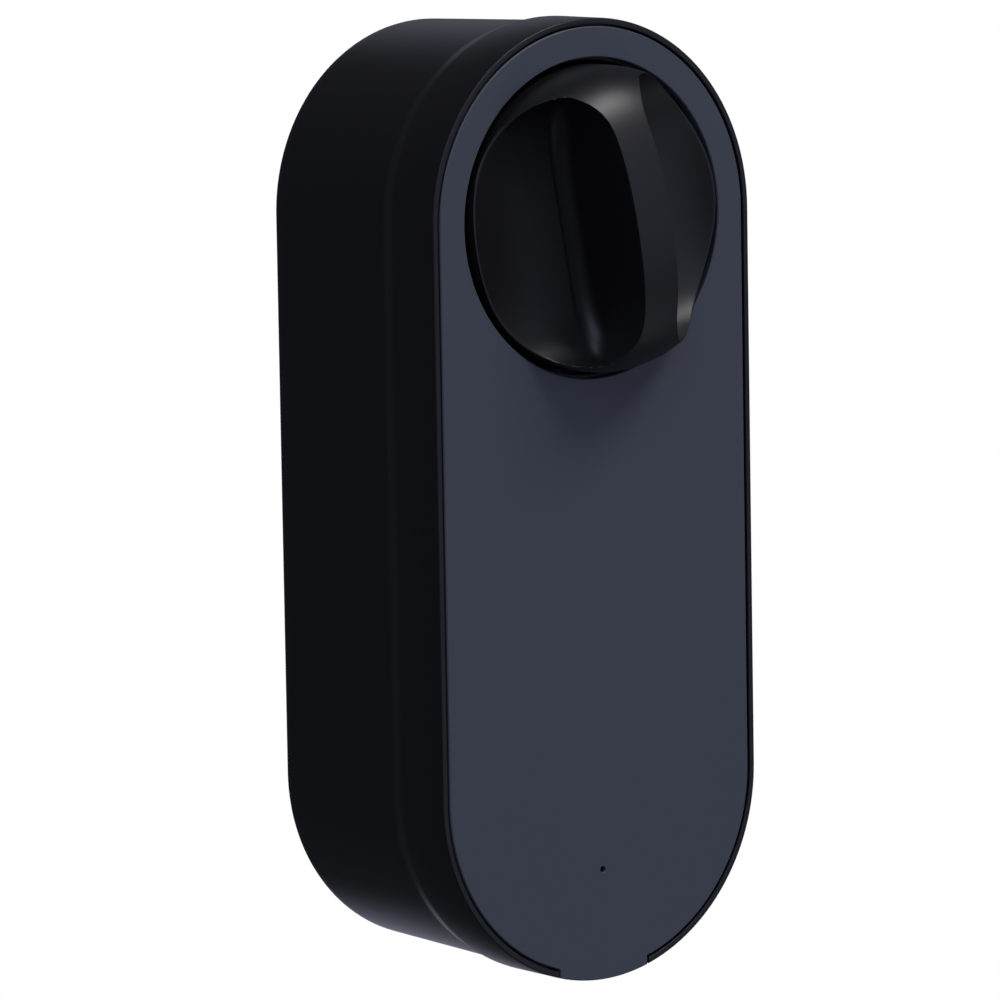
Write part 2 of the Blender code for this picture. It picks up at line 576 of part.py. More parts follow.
def make_latch(finish):
    latch = block("release_latch", (-6.0, 6.0), (-9.6, BACK_WALL[0] - CLEARANCE),
                  (LATCH_Z - 4.0, LATCH_Z + 4.0), finish)
    return join(latch, block("latch_tooth", (-3.0, 3.0), (-7.0, -1.2), (LATCH_Z - 1.5, LATCH_Z + 1.5)),
                rod("latch_knob", 2.5, -12.5, -9.0, at=(0.0, LATCH_Z), steps=20))


def main():
    clear_scene()
    black = material("matte_black_plastic", (0.012, 0.012, 0.013), 0.5)
    inside = material("carrier_plastic", (0.02, 0.02, 0.022), 0.6)
    plate = material("anodised_plate", (0.04, 0.045, 0.06), 0.45, 0.4)
    knob = material("knob_plastic", (0.015, 0.015, 0.016), 0.4)
    steel = material("bright_steel", (0.56, 0.57, 0.58), 0.35, 1.0)
    zinc = material("black_zinc", (0.05, 0.05, 0.055), 0.45, 0.8)
    brass = material("gear_brass", (0.72, 0.52, 0.22), 0.35, 1.0)
    bronze = material("bushing_bronze", (0.52, 0.33, 0.18), 0.45, 1.0)
    nickel = material("magnet_nickel", (0.66, 0.64, 0.6), 0.25, 1.0)
    ferrite = material("ring_ferrite", (0.06, 0.06, 0.065), 0.6)
    nylon = material("gear_nylon", (0.78, 0.76, 0.7), 0.5)
    board = material("board_laminate", (0.02, 0.09, 0.05), 0.5)
    chip = material("component_epoxy", (0.02, 0.02, 0.02), 0.55)
    clear = material("clear_pipe", (0.8, 0.82, 0.84), 0.15)
    button = material("button_rubber", (0.3, 0.3, 0.32), 0.7)
    cell = material("cell_sleeve", (0.05, 0.06, 0.09), 0.35, 0.2)
    ribbon = material("ribbon_weave", (0.55, 0.1, 0.08), 0.8)

    make_housing(black)
    make_front_plate(plate)
    make_carrier(inside)
    for i, at in enumerate(magnet_places(), 1):
        rod(f"plate_magnet_{i}", MAGNET_RADIUS, CARRIER[0] - 0.1, CARRIER[0] + 1.5, nickel, at, 20)
    for i, at in enumerate(CARRIER_SCREWS, 1):
        screw(f"frame_screw_{i}", at, CARRIER[0] + 1.1, 6.0, zinc)
    make_knob(knob)
    make_shaft_parts(steel, bronze, ferrite)
    make_gears(brass, nylon, steel)
    make_gearbox_plate(steel)
    make_motor(steel, zinc)
    make_coupler(zinc)
    make_electronics(board, chip, clear, button)
    make_battery(inside, cell, nickel, ribbon)
    make_mounting_plate(zinc, steel)
    make_latch(inside)


main()
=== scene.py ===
# %% [markdown]
# # A door lock's drive unit with a thumb-turn
#
# The object is the indoor half of a retrofit smart lock. A tall black housing stands off the door, a dark
# anodised plate is let into its rim, and a round knob stands out of the plate. This script takes the solid
# model as a fixed frame and builds each visible piece again with finer shape and a real finish.

# %% Load the frame
import math

import bmesh
import bpy
from mathutils import Matrix, Vector


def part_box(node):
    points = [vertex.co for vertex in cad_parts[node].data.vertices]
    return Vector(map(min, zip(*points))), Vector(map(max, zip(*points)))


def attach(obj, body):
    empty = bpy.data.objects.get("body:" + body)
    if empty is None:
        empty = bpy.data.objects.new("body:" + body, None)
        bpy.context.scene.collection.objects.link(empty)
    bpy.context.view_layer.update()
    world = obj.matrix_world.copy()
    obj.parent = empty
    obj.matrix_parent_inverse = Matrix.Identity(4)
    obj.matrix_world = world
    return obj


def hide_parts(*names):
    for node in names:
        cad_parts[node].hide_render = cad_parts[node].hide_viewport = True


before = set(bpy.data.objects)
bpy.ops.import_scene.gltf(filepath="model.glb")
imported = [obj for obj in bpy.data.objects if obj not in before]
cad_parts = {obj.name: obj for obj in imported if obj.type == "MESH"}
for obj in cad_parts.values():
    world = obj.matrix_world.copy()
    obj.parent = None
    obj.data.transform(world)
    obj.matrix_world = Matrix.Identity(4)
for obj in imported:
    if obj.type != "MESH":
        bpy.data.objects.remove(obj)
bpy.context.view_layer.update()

# %% [markdown]
# ## Sizes taken from the frame
#
# Every place below comes from the boxes of the solid model's nodes, so a piece lands where the frame says.
# The housing's outline is a stadium: two half-circles joined by straight sides. Its half-width and the
# length of its straight sides follow from the housing's box. The few sizes that a box can't tell, such as
# the radius of a lip, are named here in millimetres and turned into metres once.

# %% Measure the frame
MM = 0.001


def span(node, axis):
    """Lowest and highest value of a node's box along one axis."""
    low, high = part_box(node)
    return low[axis], high[axis]


def middle(node):
    low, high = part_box(node)
    return (Vector(low) + Vector(high)) / 2


HALF_WIDTH = span("housing", 0)[1]
STRAIGHT = span("housing", 2)[1] - HALF_WIDTH
FRONT = span("front_plate", 1)[0]
PLATE_BACK = span("front_plate", 1)[1]
HOUSING_BACK = span("housing", 1)[1]
PLATE_HALF_WIDTH = span("front_plate", 0)[1]
KNOB_AXIS = middle("knob_shaft")
DRUM_RADIUS = (span("thumbturn_knob", 0)[1] - span("thumbturn_knob", 0)[0]) / 2
CREST = FRONT - span("thumbturn_knob", 1)[0]
print(f"outline {2000 * HALF_WIDTH:.1f} x {2000 * (HALF_WIDTH + STRAIGHT):.1f} mm")
print(f"knob {2000 * DRUM_RADIUS:.1f} mm")

# %% [markdown]
# ## Shader maths as expressions
#
# A procedural finish is mostly arithmetic on noise. Wiring Math nodes by hand hides that arithmetic, so one
# small class wraps a socket and overloads the operators: `1 - wear * 0.4` then builds the two nodes itself.

# %% A socket that can be used in an expression
class Field:
    """The output of a node, as a value in an expression."""

    def __init__(self, tree, socket):
        self.tree = tree
        self.socket = socket

    def combine(self, operation, first, second):
        node = self.tree.nodes.new("ShaderNodeMath")
        node.operation = operation
        for slot, value in zip(node.inputs, (first, second)):
            if isinstance(value, Field):
                self.tree.links.new(value.socket, slot)
            else:
                slot.default_value = value
        return Field(self.tree, node.outputs[0])

    def __add__(self, other):
        return self.combine("ADD", self, other)

    def __radd__(self, other):
        return self.combine("ADD", other, self)

    def __sub__(self, other):
        return self.combine("SUBTRACT", self, other)

    def __rsub__(self, other):
        return self.combine("SUBTRACT", other, self)

    def __mul__(self, other):
        return self.combine("MULTIPLY", self, other)

    def __rmul__(self, other):
        return self.combine("MULTIPLY", other, self)


# %% [markdown]
# ## A finish
#
# A finish is one material with a Principled shader. What is the same all over is set on the shader's own
# sockets. What varies, such as grain or a tone that drifts, is an expression that feeds one socket.
# `node` makes any other node from its type, its settings and the values or links of its sockets.

# %% The finish class
class Finish:
    def __init__(self, name, colour, roughness, metallic=0.0, **sockets):
        self.material = bpy.data.materials.new(name)
        self.material.use_nodes = True
        self.tree = self.material.node_tree
        self.shader = self.tree.nodes["Principled BSDF"]
        self.set("Base Color", (*colour, 1.0))
        self.set("Roughness", roughness)
        self.set("Metallic", metallic)
        for socket, value in sockets.items():
            self.set(socket.replace("_", " "), value)
        self.place = self.node("ShaderNodeTexCoord", output="Object")

    def set(self, socket, value):
        self.shader.inputs[socket].default_value = value

    def node(self, kind, settings=None, inputs=None, output=0):
        made = self.tree.nodes.new(kind)
        for name, value in (settings or {}).items():
            setattr(made, name, value)
        for name, value in (inputs or {}).items():
            if isinstance(value, Field):
                self.tree.links.new(value.socket, made.inputs[name])
            else:
                made.inputs[name].default_value = value
        return Field(self.tree, made.outputs[output])

    def noise(self, size, detail=3.0, stretch=(1.0, 1.0, 1.0), roughness=0.55):
        """Noise from 0 to 1 with blotches about that size across, in metres."""
        where = self.place
        if stretch != (1.0, 1.0, 1.0):
            where = self.node("ShaderNodeMapping", inputs={"Vector": self.place, "Scale": stretch})
        return self.node("ShaderNodeTexNoise",
                         inputs={"Vector": where, "Scale": 1.0 / size, "Detail": detail,
                                 "Roughness": roughness})

    def blend(self, factor, low, high):
        """A colour that goes from low to high as factor goes from 0 to 1."""
        return self.node("ShaderNodeMix", {"data_type": "RGBA"},
                         {0: factor, 6: (*low, 1.0), 7: (*high, 1.0)}, output=2)

    def feed(self, socket, field):
        self.tree.links.new(field.socket, self.shader.inputs[socket])

    def relief(self, height, depth):
        """Bump whose full height is about depth, in metres."""
        self.feed("Normal", self.node("ShaderNodeBump", inputs={"Distance": depth, "Height": height}))


print("finish helpers ready")

# %% [markdown]
# ## The moulded black of the housing
#
# The housing is injection-moulded in black. Its mould was spark-eroded, which leaves a fine, even grain of
# about a quarter of a millimetre that turns gloss into a soft sheen. A bump of two noises makes that grain.
# The tone drifts a little over centimetres, as handling does, and the roughness drifts with it.

# %% Moulded plastics
def moulded(name, dark, light, roughness, grain=0.00024, depth=0.000018):
    finish = Finish(name, dark, roughness)
    fine = finish.noise(grain, detail=4.0)
    pores = finish.noise(grain * 2.6, detail=2.0)
    drift = finish.noise(0.03, detail=2.0)
    finish.feed("Base Color", finish.blend(drift * 0.7 + fine * 0.3, dark, light))
    finish.feed("Roughness", roughness - 0.05 + drift * 0.06 + fine * 0.05)
    finish.relief(fine * 0.65 + pores * 0.35, depth)
    return finish.material


SHELL_BLACK = moulded("matte_black_moulding", (0.0035, 0.0033, 0.0042), (0.0052, 0.0049, 0.0062), 0.42)
KNOB_BLACK = moulded("satin_black_knob", (0.0048, 0.0046, 0.0058), (0.0066, 0.0063, 0.0080), 0.4,
                     grain=0.00018, depth=0.000009)
CARRIER_BLACK = moulded("carrier_moulding", (0.010, 0.010, 0.011), (0.016, 0.016, 0.017), 0.55)
TRAY_GREY = moulded("tray_moulding", (0.022, 0.023, 0.025), (0.032, 0.033, 0.036), 0.55)
GEAR_NYLON = moulded("gear_nylon", (0.62, 0.60, 0.54), (0.72, 0.70, 0.64), 0.45, grain=0.0006, depth=0.00001)
EPOXY = moulded("component_epoxy", (0.012, 0.012, 0.013), (0.022, 0.022, 0.023), 0.6)
print("moulded finishes made")

# %% [markdown]
# ## The anodised plate
#
# The plate is aluminium, bead-blasted and then dyed blue-grey in the anodising bath. The blasting leaves a
# matt surface with a grain finer than the plastic's, and the dye takes slightly unevenly. Partly metallic
# with a rough surface gives the soft, cool look of dyed oxide over metal. The metallised sleeves of the
# battery cells are made the same way, smoother and darker.

# %% Anodised aluminium
def anodised(name, dark, light, roughness, metallic):
    finish = Finish(name, dark, roughness, metallic)
    blast = finish.noise(0.00014, detail=3.0)
    dye = finish.noise(0.045, detail=2.0)
    finish.feed("Base Color", finish.blend(dye * 0.75 + blast * 0.25, dark, light))
    finish.feed("Roughness", roughness - 0.03 + blast * 0.06)
    finish.relief(blast, 0.000006)
    return finish.material


PLATE_BLUE = anodised("anodised_blue_grey", (0.079, 0.089, 0.113), (0.088, 0.099, 0.125), 0.55, 0.35)
CELL_SLEEVE = anodised("cell_sleeve", (0.018, 0.024, 0.042), (0.026, 0.034, 0.056), 0.3, 0.3)
print("anodised plate and printed cell sleeve made")

# %% [markdown]
# ## Metals, boards and small trim
#
# Steel, zinc, brass and bronze parts sit inside. Turned faces carry fine tool marks, which are noise that
# is stretched along one direction. Zinc plating is cloudy. A circuit board has a green mask over copper
# tracks: a brick pattern at the scale of a track gives slightly raised, slightly lighter lines.

# %% Metals and boards
def metal(name, dark, light, roughness, marks=(1.0, 1.0, 1.0), size=0.0012):
    finish = Finish(name, dark, roughness, 1.0)
    lines = finish.noise(size, detail=3.0, stretch=marks)
    cloud = finish.noise(0.012, detail=2.0)
    finish.feed("Base Color", finish.blend(cloud * 0.6 + lines * 0.4, dark, light))
    finish.feed("Roughness", roughness - 0.06 + lines * 0.12)
    finish.relief(lines, 0.000008)
    return finish.material


def board(name):
    finish = Finish(name, (0.01, 0.055, 0.03), 0.35, Coat_Weight=0.4, Coat_Roughness=0.2)
    tracks = finish.node("ShaderNodeTexBrick", {"offset": 0.37},
                         {"Vector": finish.place, "Scale": 260.0, "Mortar Size": 0.08, "Brick Width": 1.4,
                          "Row Height": 0.5, "Color1": (0, 0, 0, 1), "Color2": (0, 0, 0, 1),
                          "Mortar": (1, 1, 1, 1)}, output="Fac")
    finish.feed("Base Color", finish.blend(tracks, (0.008, 0.05, 0.028), (0.02, 0.12, 0.06)))
    finish.relief(tracks, 0.00003)
    return finish.material


STEEL = metal("machined_steel", (0.42, 0.42, 0.43), (0.58, 0.58, 0.59), 0.34, (1.0, 9.0, 1.0))
ZINC_BLACK = metal("black_zinc", (0.035, 0.035, 0.04), (0.06, 0.06, 0.066), 0.46)
BRASS = metal("gear_brass", (0.56, 0.38, 0.14), (0.70, 0.50, 0.21), 0.3, (1.0, 12.0, 1.0))
BRONZE = metal("sintered_bronze", (0.36, 0.21, 0.10), (0.50, 0.31, 0.17), 0.45)
NICKEL = metal("nickel_plate", (0.60, 0.57, 0.52), (0.70, 0.67, 0.62), 0.22)
FERRITE = metal("sintered_ferrite", (0.045, 0.045, 0.05), (0.075, 0.075, 0.08), 0.55, size=0.0004)
LAMINATE = board("board_laminate")
print("metals and boards made")

# %% Rubber, ribbon and the clear light pipe
def rubber(name):
    finish = Finish(name, (0.09, 0.09, 0.1), 0.75)
    bloom = finish.noise(0.0007, detail=3.0)
    finish.feed("Base Color", finish.blend(bloom, (0.075, 0.075, 0.082), (0.12, 0.12, 0.13)))
    finish.relief(bloom, 0.00002)
    return finish.material


def woven(name, dark, light, thread=0.00045):
    """Two sets of threads at right angles, one over the other in turn."""
    finish = Finish(name, dark, 0.8)
    warp = finish.node("ShaderNodeTexWave", {"bands_direction": "X"},
                       {"Vector": finish.place, "Scale": 0.5 / thread, "Distortion": 0.3}, output="Fac")
    weft = finish.node("ShaderNodeTexWave", {"bands_direction": "Z"},
                       {"Vector": finish.place, "Scale": 0.5 / thread, "Distortion": 0.3}, output="Fac")
    cloth = warp * weft
    finish.feed("Base Color", finish.blend(cloth, dark, light))
    finish.relief(cloth, 0.00012)
    return finish.material


def clear(name):
    finish = Finish(name, (0.86, 0.88, 0.9), 0.12, Transmission_Weight=0.85, IOR=1.49)
    flow = finish.noise(0.002, detail=2.0)
    finish.feed("Roughness", 0.08 + flow * 0.1)
    return finish.material


KEY_RUBBER = rubber("key_rubber")
RIBBON_RED = woven("ribbon_weave", (0.30, 0.03, 0.02), (0.52, 0.08, 0.05))
PIPE_CLEAR = clear("clear_pipe")
print("trim finishes made")

# %% [markdown]
# ## Building shapes from outlines
#
# Most pieces here are an outline carried along the depth of the unit: a stadium for the housing and plate,
# a circle for turned parts. One function joins a list of equal outlines into a skin, and the pieces only
# state their sections. Smooth shading with a sharp-edge angle keeps round parts round and corners crisp.

# %% Outlines and skins
ARC_STEPS = 72
SHARP_ANGLE = 32.0


def stadium(half_width, steps=ARC_STEPS):
    points = []
    for centre_z, start in ((STRAIGHT, 0.0), (-STRAIGHT, math.pi)):
        for i in range(steps + 1):
            angle = start + math.pi * i / steps
            points.append((half_width * math.cos(angle), centre_z + half_width * math.sin(angle)))
    return points


def circle(radius, centre=(0.0, 0.0), steps=96):
    turn = 2 * math.pi / steps
    return [(centre[0] + radius * math.cos(i * turn), centre[1] + radius * math.sin(i * turn))
            for i in range(steps)]


def rectangle(low_x, high_x, low_z, high_z):
    return [(low_x, low_z), (high_x, low_z), (high_x, high_z), (low_x, high_z)]


def finished(name, mesh, material, sharp=SHARP_ANGLE):
    """An object from a bmesh, with its normals out and its round faces smooth."""
    bmesh.ops.remove_doubles(mesh, verts=mesh.verts, dist=1e-7)
    bmesh.ops.recalc_face_normals(mesh, faces=mesh.faces)
    data = bpy.data.meshes.new(name)
    mesh.to_mesh(data)
    mesh.free()
    data.materials.append(material)
    data.shade_smooth()
    data.set_sharp_from_angle(angle=math.radians(sharp))
    obj = bpy.data.objects.new(name, data)
    bpy.context.scene.collection.objects.link(obj)
    return obj


def skin(name, rings, material, closed=False, sharp=SHARP_ANGLE):
    """Rings are (y, outline) pairs. The first and last are filled, and closed joins them instead."""
    mesh = bmesh.new()
    levels = [[mesh.verts.new((x, y, z)) for x, z in outline] for y, outline in rings]
    pairs = list(zip(levels, levels[1:])) + ([(levels[-1], levels[0])] if closed else [])
    for near, far in pairs:
        for i, vertex in enumerate(near):
            j = (i + 1) % len(near)
            mesh.faces.new((vertex, near[j], far[j], far[i]))
    if not closed:
        mesh.faces.new(levels[0])
        mesh.faces.new(levels[-1])
    return finished(name, mesh, material, sharp)


def turned(name, profile, centre, material, steps):
    """A solid turned about a line parallel to Y through centre, from a closed loop of (radius, y)."""
    mesh = bmesh.new()
    columns = []
    for radius, y in profile:
        if radius == 0.0:
            columns.append([mesh.verts.new((centre[0], y, centre[1]))] * steps)
        else:
            columns.append([mesh.verts.new((x, y, z)) for x, z in circle(radius, centre, steps)])
    for near, far in zip(columns, columns[1:] + columns[:1]):
        for i in range(steps):
            j = (i + 1) % steps
            corners = list(dict.fromkeys((near[i], near[j], far[j], far[i])))
            if len(corners) > 2:
                mesh.faces.new(corners)
    return finished(name, mesh, material)


def cut(target, *cutters):
    """Takes the cutters out of the target's own mesh, then throws them away."""
    for cutter in cutters:
        modifier = target.modifiers.new(cutter.name, "BOOLEAN")
        modifier.operation = "DIFFERENCE"
        modifier.object = cutter
        modifier.solver = "EXACT"
    bake(target)
    for cutter in cutters:
        bpy.data.objects.remove(cutter, do_unlink=True)
    return target


def bake(obj):
    """Makes what the modifiers do part of the mesh."""
    bpy.context.view_layer.update()
    graph = bpy.context.evaluated_depsgraph_get()
    data = bpy.data.meshes.new_from_object(obj.evaluated_get(graph))
    obj.modifiers.clear()
    obj.data = data
    data.shade_smooth()
    data.set_sharp_from_angle(angle=math.radians(SHARP_ANGLE))


def arc_points(radius, start, end, steps):
    """Points on an arc in (across, y), with angles in degrees."""
    angles = [math.radians(start + (end - start) * i / steps) for i in range(steps + 1)]
    return [(radius * math.cos(angle), radius * math.sin(angle)) for angle in angles]


print("shape helpers ready")

# %% [markdown]
# ## The housing
#
# The shell is one wall carried round the stadium: a straight front band, a crease where the wall steps in,
# a body that draws in slightly towards the door, and a thin rim round the plate. It could be cut from a
# block with Booleans, but a section carried round the outline gives even faces and true small rounds on
# the lip, the crease and the back edge. The section is a closed loop, so the shell has its inside too.

# %% Section of the shell's wall
PLATE_GAP = 0.38 * MM
RIM_WALL = HALF_WIDTH - PLATE_HALF_WIDTH - PLATE_GAP
SEAT_INSET = 2.0 * MM
CAVITY_INSET = 2.9 * MM
RECESS_DEPTH = 1.8 * MM
SEAT_DEPTH = 4.2 * MM
BACK_WALL = (-6.3 * MM, -4.3 * MM)
BACK_WALL_REACH = 7.0 * MM
LIP_ROUND = 0.22 * MM
CREASE = ((0.0, 10.4), (0.03, 10.8), (0.12, 11.3), (0.26, 11.9), (0.43, 12.6), (0.60, 13.25), (0.67, 13.5),
          (0.71, 13.75), (0.73, 14.1))
BODY_DRAFT = ((0.75, 15.0), (0.93, 23.0), (1.12, 32.0), (1.32, 41.2))
BACK_ROUND = ((1.36, -1.05), (1.45, -0.6), (1.60, -0.25), (1.78, 0.0))
BACK_CHAMFER = 0.2 * MM


def wall_section():
    """The shell's wall as (inset from the full outline, y), from the back edge round to the back edge."""
    back = [(inset * MM, HOUSING_BACK + depth * MM) for inset, depth in BACK_ROUND]
    outer = [(inset * MM, FRONT + depth * MM) for inset, depth in reversed(CREASE + BODY_DRAFT)]
    lip = [(LIP_ROUND - x, FRONT + LIP_ROUND - y)
           for x, y in arc_points(LIP_ROUND, 0.0, 90.0, 4)]
    inner_lip = [(RIM_WALL - LIP_ROUND / 2 + x, FRONT + LIP_ROUND / 2 - y)
                 for x, y in arc_points(LIP_ROUND / 2, 90.0, 0.0, 3)]
    inside = [(RIM_WALL, FRONT + RECESS_DEPTH), (SEAT_INSET, FRONT + RECESS_DEPTH),
              (SEAT_INSET, FRONT + SEAT_DEPTH), (CAVITY_INSET, FRONT + SEAT_DEPTH),
              (CAVITY_INSET, BACK_WALL[0]), (BACK_WALL_REACH, BACK_WALL[0]),
              (BACK_WALL_REACH, BACK_WALL[1]), (CAVITY_INSET, BACK_WALL[1]),
              (CAVITY_INSET, HOUSING_BACK - BACK_CHAMFER), (CAVITY_INSET - BACK_CHAMFER, HOUSING_BACK)]
    return list(reversed(back)) + outer + lip + inner_lip + inside


section = wall_section()
shell = skin("housing_shell", [(y, stadium(HALF_WIDTH - inset)) for inset, y in section], SHELL_BLACK,
             closed=True, sharp=40.0)
print("housing section of", len(section), "points")

# %% [markdown]
# The rim is open at the bottom, where the plate's pull tab comes through. One straight-sided notch is cut
# through the rim there. Its corners stay crisp, because the mould's insert left them so.

# %% Notch for the tab
TAB_HALF_WIDTH = 8.7 * MM
NOTCH_REACH = TAB_HALF_WIDTH + 0.3 * MM
NOTCH_RISE = 6.0 * MM
foot = -STRAIGHT - HALF_WIDTH
notch = rectangle(-NOTCH_REACH, NOTCH_REACH, foot - MM, foot + NOTCH_RISE)
cut(shell, skin("tab_notch", [(FRONT - MM, notch), (FRONT + RECESS_DEPTH, notch)], SHELL_BLACK))
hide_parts("housing")
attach(shell, "base")

# %% Wall behind the works, with the opening for the lock cylinder
def keyhole(radius, foot_half_width, drop, centre, steps=64):
    start = -math.acos(foot_half_width / radius)
    sweep = math.pi - 2 * start
    arc = [(radius * math.cos(start + sweep * i / steps), radius * math.sin(start + sweep * i / steps))
           for i in range(steps + 1)]
    return [(centre[0] + x, centre[1] + z)
            for x, z in arc + [(-foot_half_width, -drop), (foot_half_width, -drop)]]


KNOB_AT = (KNOB_AXIS.x, KNOB_AXIS.z)
LATCH_AT = middle("release_latch").z
COLLAR_OPENING = (14.0 * MM, 6.3 * MM, 25.8 * MM)
LATCH_OPENING = (3.4 * MM, 1.9 * MM)
HOOK_OPENING = (21.5 * MM, 26.5 * MM, -26.2 * MM, -17.5 * MM)
WALL_LAP = 0.5 * MM
WALL_SKIN = 0.05 * MM
deep = (BACK_WALL[0] - 2 * MM, BACK_WALL[1] + 2 * MM)
wall_outline = stadium(HALF_WIDTH - BACK_WALL_REACH + WALL_LAP)
back_wall = skin("housing_back_wall", [(BACK_WALL[0] + WALL_SKIN, wall_outline),
                                       (BACK_WALL[1] - WALL_SKIN, wall_outline)], SHELL_BLACK)
near, far, low, high = HOOK_OPENING
reach, rise = LATCH_OPENING
openings = [keyhole(*COLLAR_OPENING, KNOB_AT),
            rectangle(-reach, reach, LATCH_AT - rise, LATCH_AT + rise),
            rectangle(-far, -near, low, high), rectangle(near, far, low, high)]
cut(back_wall, *[skin(f"opening_{i}", [(y, outline) for y in deep], SHELL_BLACK)
                 for i, outline in enumerate(openings)])
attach(back_wall, "base")
print("housing made")

# %% [markdown]
# ## The front plate
#
# The plate is a blank with a fine chamfer on every edge. The chamfer catches the light as a thin line round
# the plate and round the knob's hole, so it is modelled, not painted. The outline has the tab in it: it
# follows the plate's own arc, steps out to the housing's outline at the tab, and steps back.

# %% Outline of the plate
PLATE_CHAMFER = 0.15 * MM
PINHOLE_RADIUS = 0.5 * MM
TAB_STEPS = 24
PINHOLE_AT = (middle("light_pipe").x, middle("light_pipe").z)
KNOB_HOLE_RADIUS = 24.9 * MM


def plate_outline(inset, steps=ARC_STEPS):
    """The plate's edge moved in by inset, always with the same number of points."""
    radius = PLATE_HALF_WIDTH - inset
    half_tab = TAB_HALF_WIDTH - inset
    upper = [(radius * math.cos(math.pi * i / steps), STRAIGHT + radius * math.sin(math.pi * i / steps))
             for i in range(steps + 1)]
    root = math.asin(half_tab / radius)
    left = [math.pi + (math.pi / 2 - root) * i / steps for i in range(steps + 1)]
    lower_left = [(radius * math.cos(a), -STRAIGHT + radius * math.sin(a)) for a in left]
    outer = HALF_WIDTH - inset
    tip = math.asin(half_tab / outer)
    along = [-tip + 2 * tip * i / TAB_STEPS for i in range(TAB_STEPS + 1)]
    tab = [(outer * math.sin(a), -STRAIGHT - outer * math.cos(a)) for a in along]
    lower_right = [(-x, z) for x, z in reversed(lower_left)]
    return upper + lower_left + tab + lower_right


# %% Plate with its chamfers and holes
def chamfered_plate():
    full = plate_outline(0.0)
    plate = skin("front_plate_sheet", [(FRONT, plate_outline(PLATE_CHAMFER)), (FRONT + PLATE_CHAMFER, full),
                                       (PLATE_BACK, full)], PLATE_BLUE, sharp=20.0)
    chamfer = PLATE_CHAMFER * 1.1
    behind = PLATE_BACK + MM
    knob_tool = ((0.0, FRONT - MM), (KNOB_HOLE_RADIUS + chamfer + MM, FRONT - MM),
                 (KNOB_HOLE_RADIUS, FRONT + chamfer), (KNOB_HOLE_RADIUS, behind), (0.0, behind))
    pin_tool = ((0.0, FRONT - 0.1 * MM), (PINHOLE_RADIUS + 0.16 * MM, FRONT - 0.1 * MM),
                (PINHOLE_RADIUS, FRONT + 0.06 * MM), (PINHOLE_RADIUS, behind), (0.0, behind))
    return cut(plate, turned("knob_hole_tool", knob_tool, KNOB_AT, PLATE_BLUE, steps=192),
               turned("pinhole_tool", pin_tool, PINHOLE_AT, PLATE_BLUE, steps=32))


plate = chamfered_plate()
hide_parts("front_plate")
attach(plate, "plate")
print("front plate with", len(plate.data.polygons), "faces")

# %% [markdown]
# ## The knob
#
# The knob began as a turned drum with a low crown. Two thumb scoops were then cut into it, one on each side,
# and what they left standing is the grip: slim in the middle, flared into the crown at both ends. Each scoop
# has a steep flank beside the grip, a valley at its foot and a floor that rises gently to the drum's edge.
#
# A Boolean of a drum and two scoops gives that shape too, but its edges come out knife-sharp. Here the
# surface is a height over each point of the drum, the lower of crown and scoop, with a smooth minimum that
# rounds the meeting line as polishing does. Rows run across the grip and their columns crowd together where
# the flank meets the crown, so the round is well resolved.

# %% Heights of the crown and of the scoop
KNOB_TURN = math.radians(10.2)
SHOULDER = 0.45 * MM
CROWN_POWERS = (2.4, 2.675)
GRIP_HALF_WIDTH = 3.3 * MM
GRIP_STRAIGHT = 13.3 * MM
CORNER_ACROSS = 14.0 * MM
CORNER_ALONG = 9.5 * MM
CORNER_POWER = 2.8
SCOOP_END = 21.15 * MM
SCOOP_FOOT = 6.2 * MM
FOOT_SPREAD = 1.4 * MM
RIM_CURVE = (1.1 * MM, 7.0 * MM, 6.0, 2.2)
VALLEY_CURVE = (-0.4 * MM, 7.5 * MM, 4.0, 2.0)
FLOOR_DIP = 0.9 * MM
FLOOR_LOWEST = 0.42
FOOT_LEAST = 1.5 * MM
FLANK_LEAST = 0.5 * MM
FLANK_ROUND = 0.9
CREST_RISE = 9.0
EDGE_ROUND = 0.5 * MM
RIM_ROUND = 0.3 * MM


def crown(radius):
    flat, round_off = CROWN_POWERS
    share = max(1.0 - (radius / DRUM_RADIUS) ** flat, 0.0)
    return SHOULDER + (CREST - SHOULDER) * share ** (1 / round_off)


def grip_edge(v):
    """Half the grip's width at v along it: straight in the middle, flared at both ends."""
    reach = min(max(abs(v) - GRIP_STRAIGHT, 0.0) / CORNER_ALONG, 1.0)
    return GRIP_HALF_WIDTH + CORNER_ACROSS * (1.0 - (1.0 - reach ** CORNER_POWER) ** (1 / CORNER_POWER))


def lifted(curve, v):
    """A height that is nearly level along the scoop and lifts towards its ends."""
    level, lift, power, round_off = curve
    share = 1.0 - min(abs(v) / SCOOP_END, 1.0) ** power
    return level + lift * (1.0 - share ** (1 / round_off))


